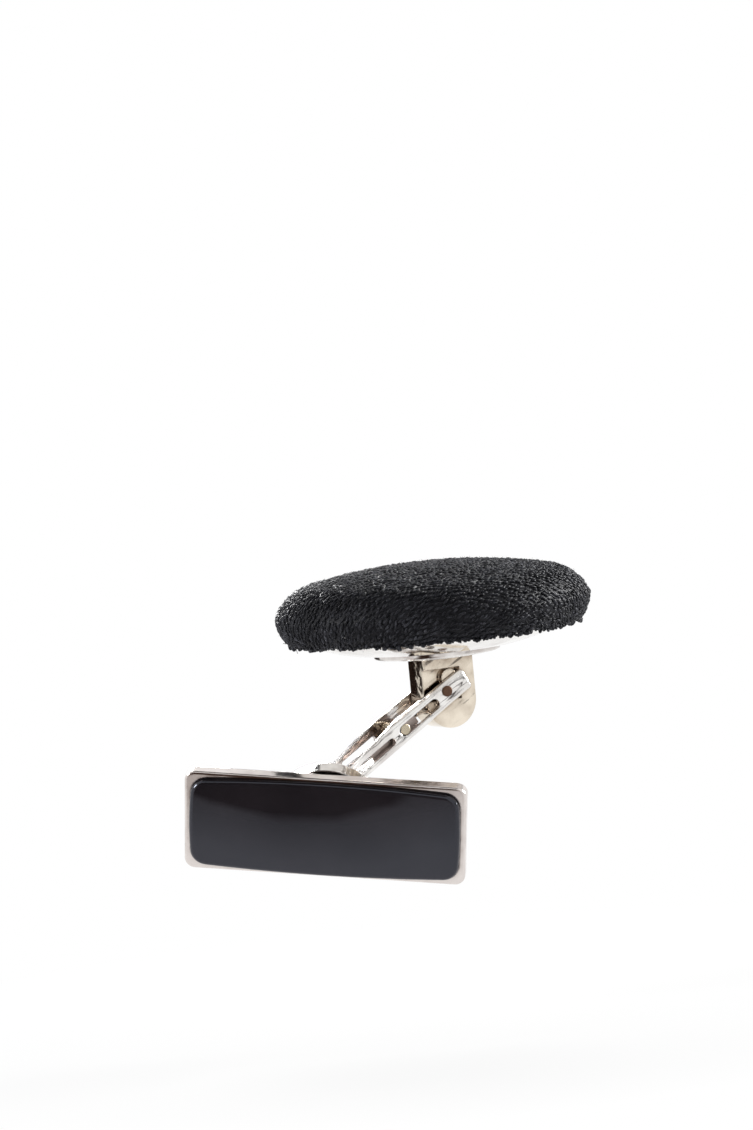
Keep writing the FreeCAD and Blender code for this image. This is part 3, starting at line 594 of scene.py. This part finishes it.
class CUFFLINK_OT_cover(bpy.types.Operator):
    """Ground cloth pulled over the button, with its yarns, frayed hem and loose fibres"""
    bl_idname = "cufflink.cover"
    bl_label = "Woven cover"

    def execute(self, context):
        cloth = context.scene.cufflink_cloth
        material = cloth_material(cloth)
        outer = cover_profile(cloth, cloth.sink)
        inner = cover_profile(cloth, cloth.sink + cloth.wall)
        mesh = turned_mesh("ground_cloth", outer + inner[::-1], COVER_SIDES)
        ground = new_object("ground_cloth", mesh, "button", material)
        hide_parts("fabric_cover")

        yarn_depth = cloth.sink * 0.9
        path = cover_profile(cloth, yarn_depth)
        reach = sum((b - a).length for a, b in zip(path, path[1:]))
        holder = profile_curve(path)
        yarns = grown("woven_yarns", yarn_tree(), {
            "Profile": holder, "Row Pitch": cloth.row_pitch, "Yarn Step": cloth.yarn_step,
            "Yarn Length": cloth.yarn_length, "Yarn Width": cloth.yarn_width,
            "Yarn Height": cloth.yarn_height, "Warp": cloth.warp, "Slant": cloth.slant, "Turn": cloth.turn,
            "Cloth Radius": reach, "Seed": cloth.seed, "Material": material,
        })
        bpy.data.objects.remove(holder)

        hem = grown("frayed_hem", hem_tree(), {
            "Hem Radius": outer[-1].x, "Hem Level": outer[-1].y, "Knobs": cloth.knobs,
            "Knob Length": cloth.knob_length, "Knob Width": cloth.knob_width, "Seed": cloth.seed,
            "Material": material,
        })

        whole = skin_object(outer)
        edge = skin_object(outer[-3:])
        scatter = fibre_tree()
        per_square_cm = 1.0e4
        hairs = grown("loose_hairs", scatter, {
            "Skin": whole, "Density": cloth.hairs * per_square_cm, "Length": cloth.hair_length,
            "Width": cloth.hair_width, "Seed": cloth.seed, "Material": material,
        })
        threads = grown("broken_threads", scatter, {
            "Skin": edge, "Density": cloth.threads * per_square_cm, "Length": cloth.thread_length,
            "Width": cloth.thread_width, "Seed": cloth.seed, "Material": material,
        })
        lint = grown("lint", scatter, {
            "Skin": whole, "Density": cloth.lint_bits * per_square_cm, "Length": cloth.hair_length,
            "Width": cloth.thread_width, "Seed": cloth.lint_seed, "Material": lint_material(cloth),
        })
        for skin in (whole, edge):
            bpy.data.objects.remove(skin)
        return {"FINISHED"}


def metal_material(name, colour, film_and_shade, roughness, wave):
    """Metal polished by hand: clear, wavy reflections, soft edges, a thin film in random clouds, and painted
    shade in the film colour where ambient occlusion finds corners, partly standing for tarnish.
    """
    material, add = new_material(name)
    place = add("ShaderNodeTexCoord", give="Object")
    # Painted shade: the film colour is laid where ambient occlusion finds corners and recesses, partly
    # tarnish and partly shade
    open_air = add("ShaderNodeAmbientOcclusion", {"Distance": 1.1 * MM}, give="AO", samples=8)
    cloud = add("ShaderNodeTexNoise", {"Vector": place, "Scale": per_mm(0.9), "Detail": 4.0})
    kept = add("ShaderNodeMapRange", {
        "Value": open_air, "From Min": 0.55, "From Max": 0.99, "To Min": 1.0, "To Max": 0.0,
    })
    uneven = add("ShaderNodeMapRange", {"Value": cloud, "From Min": 0.3, "From Max": 0.7, "To Min": 0.3})
    corner_tarnish_and_shade = add("ShaderNodeMath", {0: kept, 1: uneven}, operation="MULTIPLY")
    breath = add("ShaderNodeTexNoise", {"Vector": place, "Scale": per_mm(1.7), "Detail": 3.0})
    thin = add("ShaderNodeMapRange", {"Value": breath, "From Min": 0.42, "From Max": 0.7, "To Max": 0.45})
    # The colour takes the stronger of the painted corner shade and the thin film
    film_and_corner_shade = add("ShaderNodeMath", {0: corner_tarnish_and_shade, 1: thin}, operation="MAXIMUM")
    tint = add("ShaderNodeMix", {0: film_and_corner_shade, COLOUR_A: colour, COLOUR_B: film_and_shade}, give=MIXED, data_type="RGBA")

    # Rubbed along the arm: the waves are longer that way
    arm_slope = math.radians(-30)
    laid = add("ShaderNodeMapping", {
        "Vector": place, "Rotation": (0.0, arm_slope, 0.0), "Scale": (3.0, 1.0, 0.8),
    }, vector_type="TEXTURE")
    rubbing = add("ShaderNodeTexNoise", {"Vector": laid, "Scale": per_mm(0.25), "Detail": 3.0})
    scuffed = roughness * 1.9
    polish = add("ShaderNodeMapRange", {
        "Value": rubbing, "From Min": 0.35, "From Max": 0.7, "To Min": roughness, "To Max": scuffed,
    })
    swell = add("ShaderNodeTexNoise", {"Vector": laid, "Scale": per_mm(1.1), "Detail": 1.5})
    soft = add("ShaderNodeBevel", {"Radius": 0.13 * MM}, samples=4)
    relief = add("ShaderNodeBump", {"Height": swell, "Distance": wave, "Normal": soft})
    surface = add("ShaderNodeBsdfPrincipled", {
        "Base Color": tint, "Normal": relief, "Roughness": polish, "Metallic": 1.0,
    })
    add("ShaderNodeOutputMaterial", {"Surface": surface}, give=None)
    return material


def dress(name, material):
    """Give a CAD piece its finish."""
    for slot in NODES[name].material_slots:
        slot.material = material


SILVER_NODES = ("back_cup", "post_flange", "foot_fork", "foot_pin", "foot_pad", "swivel_stud",
                "swivel_washer")


class CUFFLINK_OT_metal(bpy.types.Operator):
    """Finishes of the metal pieces"""
    bl_idname = "cufflink.metal"
    bl_label = "Metal finishes"

    def execute(self, context):
        metal = context.scene.cufflink_metal
        # Colour, film colour (also the colour of the painted corner shade), roughness and height of the waves
        # in millimetres for each finish, and what wears it
        finishes = {
            "silver_plate": (metal.plate, metal.breath, 0.08, 0.03, SILVER_NODES),
            "spring_steel": (metal.steel, metal.breath, 0.25, 0.02, ("leaf_spring", "button_shell")),
            # Tray: pink tint and painted shade, darker than the plate for darker reflections
            "pink_shaded_plate": (metal.pink_shaded, metal.breath, 0.08, 0.03, ("plate_tray",)),
            # Post's tongue: painted warm reflection in its base colour, and tarnish with painted shade in its
            # corners
            "warm_reflection_plate": (metal.warm_reflection, metal.tarnish_and_shade, 0.04, 0.035, ("post_tongue",)),
            "rubbed_plate": (metal.plate, metal.breath, 0.08, 0.28, ("arm_channel",)),
            "rivet_brass": (metal.brass, metal.tarnish_and_shade, 0.2, 0.02, ("cross_rivet",)),
            "browned_bronze": (metal.bronze, metal.tarnish_and_shade, 0.3, 0.02, ("hinge_pin",)),
        }
        for name, (colour, film_and_shade, roughness, wave, wearers) in finishes.items():
            material = metal_material(name, colour, film_and_shade, roughness, wave * MM)
            for wearer in wearers:
                dress(wearer, material)
        return {"FINISHED"}


def enamel_material(enamel):
    """Poured black enamel: deep, wet gloss with a faint swell of the pour."""
    material, add = new_material("black_enamel")
    place = add("ShaderNodeTexCoord", give="Object")
    cloud = add("ShaderNodeTexNoise", {"Vector": place, "Scale": per_mm(4.0), "Detail": 2.0})
    thin = add("ShaderNodeMapRange", {"Value": cloud, "From Min": 0.3, "From Max": 0.7})
    colour = add("ShaderNodeMix", {0: thin, COLOUR_A: enamel.colour, COLOUR_B: enamel.haze},
                 give=MIXED, data_type="RGBA")
    swell = add("ShaderNodeTexNoise", {"Vector": place, "Scale": per_mm(2.6), "Detail": 1.0})
    relief = add("ShaderNodeBump", {"Height": swell, "Distance": 0.006 * MM})
    dust = add("ShaderNodeTexNoise", {"Vector": place, "Scale": per_mm(0.6), "Detail": 4.0})
    polish = add("ShaderNodeMapRange", {
        "Value": dust, "From Min": 0.3, "From Max": 0.8, "To Min": 0.012, "To Max": 0.04,
    })
    surface = add("ShaderNodeBsdfPrincipled", {
        "Base Color": colour, "Normal": relief, "Roughness": polish, "IOR": 1.55,
        "Specular Tint": enamel.gloss,
    })
    add("ShaderNodeOutputMaterial", {"Surface": surface}, give=None)
    return material


class CUFFLINK_OT_enamel(bpy.types.Operator):
    """Enamel finish of the plate's filling"""
    bl_idname = "cufflink.enamel"
    bl_label = "Enamel"

    def execute(self, context):
        dress("enamel_inlay", enamel_material(context.scene.cufflink_enamel))
        return {"FINISHED"}


def wadding_material():
    """Felted cotton wadding: pale and matt, in soft clumps."""
    material, add = new_material("felted_cotton")
    place = add("ShaderNodeTexCoord", give="Object")
    clumps = add("ShaderNodeTexNoise", {"Vector": place, "Scale": per_mm(0.4), "Detail": 3.0})
    colour = add("ShaderNodeMix", {0: clumps, COLOUR_A: linear("#CFCBC2"), COLOUR_B: linear("#E6E3DC")},
                 give=MIXED, data_type="RGBA")
    felt = add("ShaderNodeTexNoise", {"Vector": place, "Scale": per_mm(0.15), "Detail": 3.0})
    relief = add("ShaderNodeBump", {"Height": felt, "Distance": 0.05 * MM})
    surface = add("ShaderNodeBsdfPrincipled", {"Base Color": colour, "Normal": relief, "Roughness": 0.95})
    add("ShaderNodeOutputMaterial", {"Surface": surface}, give=None)
    return material


class CUFFLINK_OT_wadding(bpy.types.Operator):
    """Soft lens under the cloth"""
    bl_idname = "cufflink.wadding"
    bl_label = "Wadding"

    def execute(self, context):
        radius = WADDING_HIGH.x
        low, high = WADDING_LOW.z, WADDING_HIGH.z
        edge = 0.15 * MM
        middle = 0.5 * MM
        steps = 16
        shares = [step / steps for step in range(steps + 1)]
        fall = high - low - edge
        crown = [(radius * share, high - fall * share * share) for share in shares]
        back = [(r, z - edge - (middle - edge) * (1 - (r / radius) ** 2)) for r, z in crown[::-1]]
        mesh = turned_mesh("wadding", crown + back, PLAIN_SIDES)
        pad = new_object("wadding", mesh, "button", wadding_material())
        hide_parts("wadding_disc")
        return {"FINISHED"}


def seen_rays(add):
    """1 for rays from the camera, from a reflection or through glass, and 0 for rays that carry light."""
    path = add("ShaderNodeLightPath", give=None).outputs
    seen = add("ShaderNodeMath", {0: path["Is Camera Ray"], 1: path["Is Glossy Ray"]}, operation="MAXIMUM")
    return add("ShaderNodeMath", {0: seen, 1: path["Is Transmission Ray"]}, operation="MAXIMUM")


def studio_world(stage):
    """White surround, which shows full white and gives a little light."""
    world = bpy.data.worlds.new("studio")
    add = emptied(world)
    strength = add("ShaderNodeMapRange", {"Value": seen_rays(add), "To Min": stage.ambient})
    sky = add("ShaderNodeBackground", {"Color": (1.0, 1.0, 1.0, 1.0), "Strength": strength})
    add("ShaderNodeOutputWorld", {"Surface": sky}, give=None)
    return world


def floor_material(stage, level):
    """Seamless white paper: white to the camera and in reflections, with the object's shadow close by."""
    material, add = new_material("white_paper")
    place = add("ShaderNodeTexCoord", give="Object")
    middle = (CAD_BOX[0] + CAD_BOX[1]) / 2
    middle.z = level
    away = add("ShaderNodeVectorMath", {0: place, 1: middle}, give="Value", operation="DISTANCE")
    shine = add("ShaderNodeMapRange", {
        "Value": away, "From Min": stage.shadow_core, "From Max": stage.shadow_reach,
        "To Min": stage.shadow_shine,
    })
    seen = seen_rays(add)
    share = add("ShaderNodeMath", {0: seen, 1: shine}, operation="MULTIPLY")
    paper = add("ShaderNodeMix", {0: seen, COLOUR_A: stage.paper, COLOUR_B: stage.seen_paper},
                give=MIXED, data_type="RGBA")
    surface = add("ShaderNodeMixShader", {
        0: share,
        1: add("ShaderNodeBsdfDiffuse", {"Color": paper}),
        2: add("ShaderNodeEmission", {"Color": (1.0, 1.0, 1.0, 1.0), "Strength": 1.0}),
    })
    add("ShaderNodeOutputMaterial", {"Surface": surface}, give=None)
    return material


def card_material(name, colour):
    """Dark card: dull, so that polished pieces show it as a dark field, and thin at its rim."""
    material, add = new_material(name)
    cover = add("ShaderNodeAttribute", give="Fac", attribute_name="cover")
    surface = add("ShaderNodeMixShader", {
        0: cover,
        1: add("ShaderNodeBsdfTransparent"),
        2: add("ShaderNodeBsdfDiffuse", {"Color": colour}),
    })
    add("ShaderNodeOutputMaterial", {"Surface": surface}, give=None)
    return material


def stage_piece(name, corners, faces, material):
    """Piece of the stage through the given corners."""
    mesh = bpy.data.meshes.new(name)
    mesh.from_pydata(corners, [], faces)
    mesh.materials.append(material)
    piece = bpy.data.objects.new(name, mesh)
    bpy.context.scene.collection.objects.link(piece)
    return piece


def dark_card(name, middle, wide, tall, rim, material):
    """Oval card that only reflections show, thinning out past its rim share, and cut off level below."""
    count = 48
    turns = [2 * math.pi * step / count for step in range(count)]
    outline = [middle + wide * math.cos(turn) + tall * math.sin(turn) for turn in turns]
    inside = [middle + (spot - middle) * rim for spot in outline]
    for spot in (*inside, *outline):
        spot.z = max(spot.z, CARD_LEVEL)
    ring = [(step, (step + 1) % count, count + (step + 1) % count, count + step) for step in range(count)]
    card = stage_piece(name, inside + outline, [range(count), *ring], material)
    cover = card.data.attributes.new("cover", "FLOAT", "POINT")
    cover.data.foreach_set("value", [1.0] * count + [0.0] * count)
    card.visible_camera = False
    card.visible_diffuse = False
    card.visible_transmission = False
    card.visible_shadow = False


def set_cards(stage):
    """Dark cards, each where a polished face of the object shows it."""
    black = card_material("black_card", stage.black_card)
    brown = card_material("brown_card", stage.brown_card)
    grey = card_material("grey_card", stage.grey_card)

    # In the post's left flank, out along the line of sight that it mirrors
    flank = mm(-1.7, 0.0, -1.8) + 14 * mm(-0.47, 0.88, -0.07)
    sidewards = mm(0.88, 0.47, 0.0)
    tall = mm(0.0, 0.0, 8.0)
    dark_card("flank_card", flank + 3.55 * sidewards, 4.0 * sidewards, tall, rim=0.985, material=black)
    dark_card("flank_stripe", flank - 0.62 * sidewards, 0.06 * sidewards, tall, rim=0.6, material=black)

    # In the enamel's upper edge
    dark_card("top_card", mm(-14.0, -8.0, 120.0), mm(60.0, 0.0, 0.0), mm(0.0, 60.0, 0.0), rim=0.8,
              material=black)

    # In the upper part of the enamel: dark ground in front of the plate, and the dark end of the room
    ahead = mm(-0.767, -0.642, 0.0)
    aside = ahead.cross(UPRIGHT)
    near = mm(-15.3, -11.2, 0.0) + (CARD_LEVEL + CARD_STEP) * UPRIGHT
    over = near + CARD_STEP * UPRIGHT
    dark_card("front_ground", near + 142 * ahead, 150 * ahead, 42 * aside, rim=0.94, material=grey)
    dark_card("front_lens", over + 147.5 * ahead + 1.8 * aside, 150 * ahead, 29 * aside, rim=0.99,
              material=brown)
    dark_card("front_wall", near + 250 * ahead, 170 * aside, mm(0.0, 0.0, 200.0), rim=0.85, material=brown)

    # In the arm's front flange, as streaks along the arm
    facing = 200 * mm(0.47, -0.88, -0.07)
    along = mm(-0.866, 0.0, -0.5)
    across = mm(0.5, 0.0, -0.866)
    dark_card("front_fade", facing + 24 * across, 80 * along, 42 * across, rim=0.5, material=black)
    dark_card("upper_strip", facing - 26 * across, 90 * along, 10 * across, rim=0.6, material=black)


def area_lamp(name, place, size, power):
    """Soft box that faces the object."""
    lamp = bpy.data.lights.new(name, "AREA")
    lamp.shape = "DISK"
    lamp.size = size
    lamp.energy = power
    holder = bpy.data.objects.new(name, lamp)
    holder.location = place
    holder.rotation_euler = (-Vector(place)).to_track_quat("-Z", "Y").to_euler()
    bpy.context.scene.collection.objects.link(holder)


def set_camera(scene, stage):
    """Camera that stands and leans as the photograph's did."""
    turn, rise = stage.azimuth, stage.elevation
    back = Vector((math.sin(turn) * math.cos(rise), -math.cos(turn) * math.cos(rise), math.sin(rise)))
    right = Vector((math.cos(turn), math.sin(turn), 0.0))
    up = back.cross(right)
    tilted_right = math.cos(stage.roll) * right - math.sin(stage.roll) * up
    tilted_up = math.sin(stage.roll) * right + math.cos(stage.roll) * up
    button = scene.cufflink_cloth.equator * UPRIGHT
    aim = button - tilted_right * stage.aim_right + tilted_up * stage.aim_down
    lens = bpy.data.cameras.new("camera")
    lens.sensor_width = 36.0
    lens.lens = lens.sensor_width * stage.distance / stage.picture_height
    lens.clip_start = 0.01
    lens.clip_end = 10.0
    camera = bpy.data.objects.new("camera", lens)
    scene.collection.objects.link(camera)
    turned = Matrix((tilted_right, tilted_up, back)).transposed()
    camera.matrix_world = Matrix.Translation(aim + back * stage.distance) @ turned.to_4x4()
    scene.camera = camera


class CUFFLINK_OT_stage(bpy.types.Operator):
    """Paper floor, soft light, dark cards and the camera of the photograph"""
    bl_idname = "cufflink.stage"
    bl_label = "Stage"

    def execute(self, context):
        scene = context.scene
        stage = scene.cufflink_stage
        scene.view_settings.view_transform = "Standard"
        scene.world = studio_world(stage)
        level = CAD_BOX[0].z - stage.swing_room
        half = 1.5
        corners = [(-half, -half, level), (half, -half, level), (half, half, level), (-half, half, level)]
        stage_piece("floor", corners, [range(4)], floor_material(stage, level))
        set_cards(stage)
        area_lamp("overhead_box", place=(0.06, 0.27, 0.13), size=0.16, power=stage.overhead)
        area_lamp("left_box", place=(-0.32, 0.06, 0.12), size=0.12, power=stage.left)
        area_lamp("right_box", place=(0.25, -0.03, 0.09), size=0.12, power=stage.right)
        set_camera(scene, stage)
        return {"FINISHED"}


OPERATORS = (CUFFLINK_OT_cover, CUFFLINK_OT_wadding, CUFFLINK_OT_metal, CUFFLINK_OT_enamel, CUFFLINK_OT_stage)


class CUFFLINK_PT_panel(bpy.types.Panel):
    """Lists the steps that dress the cufflink"""
    bl_idname = "CUFFLINK_PT_panel"
    bl_label = "Cufflink"
    bl_space_type = "VIEW_3D"
    bl_region_type = "UI"
    bl_category = "Cufflink"

    def draw(self, context):
        for step in OPERATORS:
            self.layout.operator(step.bl_idname)


SETTINGS = {
    "cufflink_cloth": ClothSettings,
    "cufflink_metal": MetalSettings,
    "cufflink_enamel": EnamelSettings,
    "cufflink_stage": StageSettings,
}
CLASSES = (*SETTINGS.values(), *OPERATORS, CUFFLINK_PT_panel)


def register():
    for item in CLASSES:
        bpy.utils.register_class(item)
    for name, group in SETTINGS.items():
        setattr(bpy.types.Scene, name, bpy.props.PointerProperty(type=group))


def unregister():
    for name in SETTINGS:
        delattr(bpy.types.Scene, name)
    for item in reversed(CLASSES):
        bpy.utils.unregister_class(item)


def main():
    register()
    bpy.ops.cufflink.cover()
    bpy.ops.cufflink.wadding()
    bpy.ops.cufflink.metal()
    bpy.ops.cufflink.enamel()
    bpy.ops.cufflink.stage()


if __name__ == "__main__":
    main()
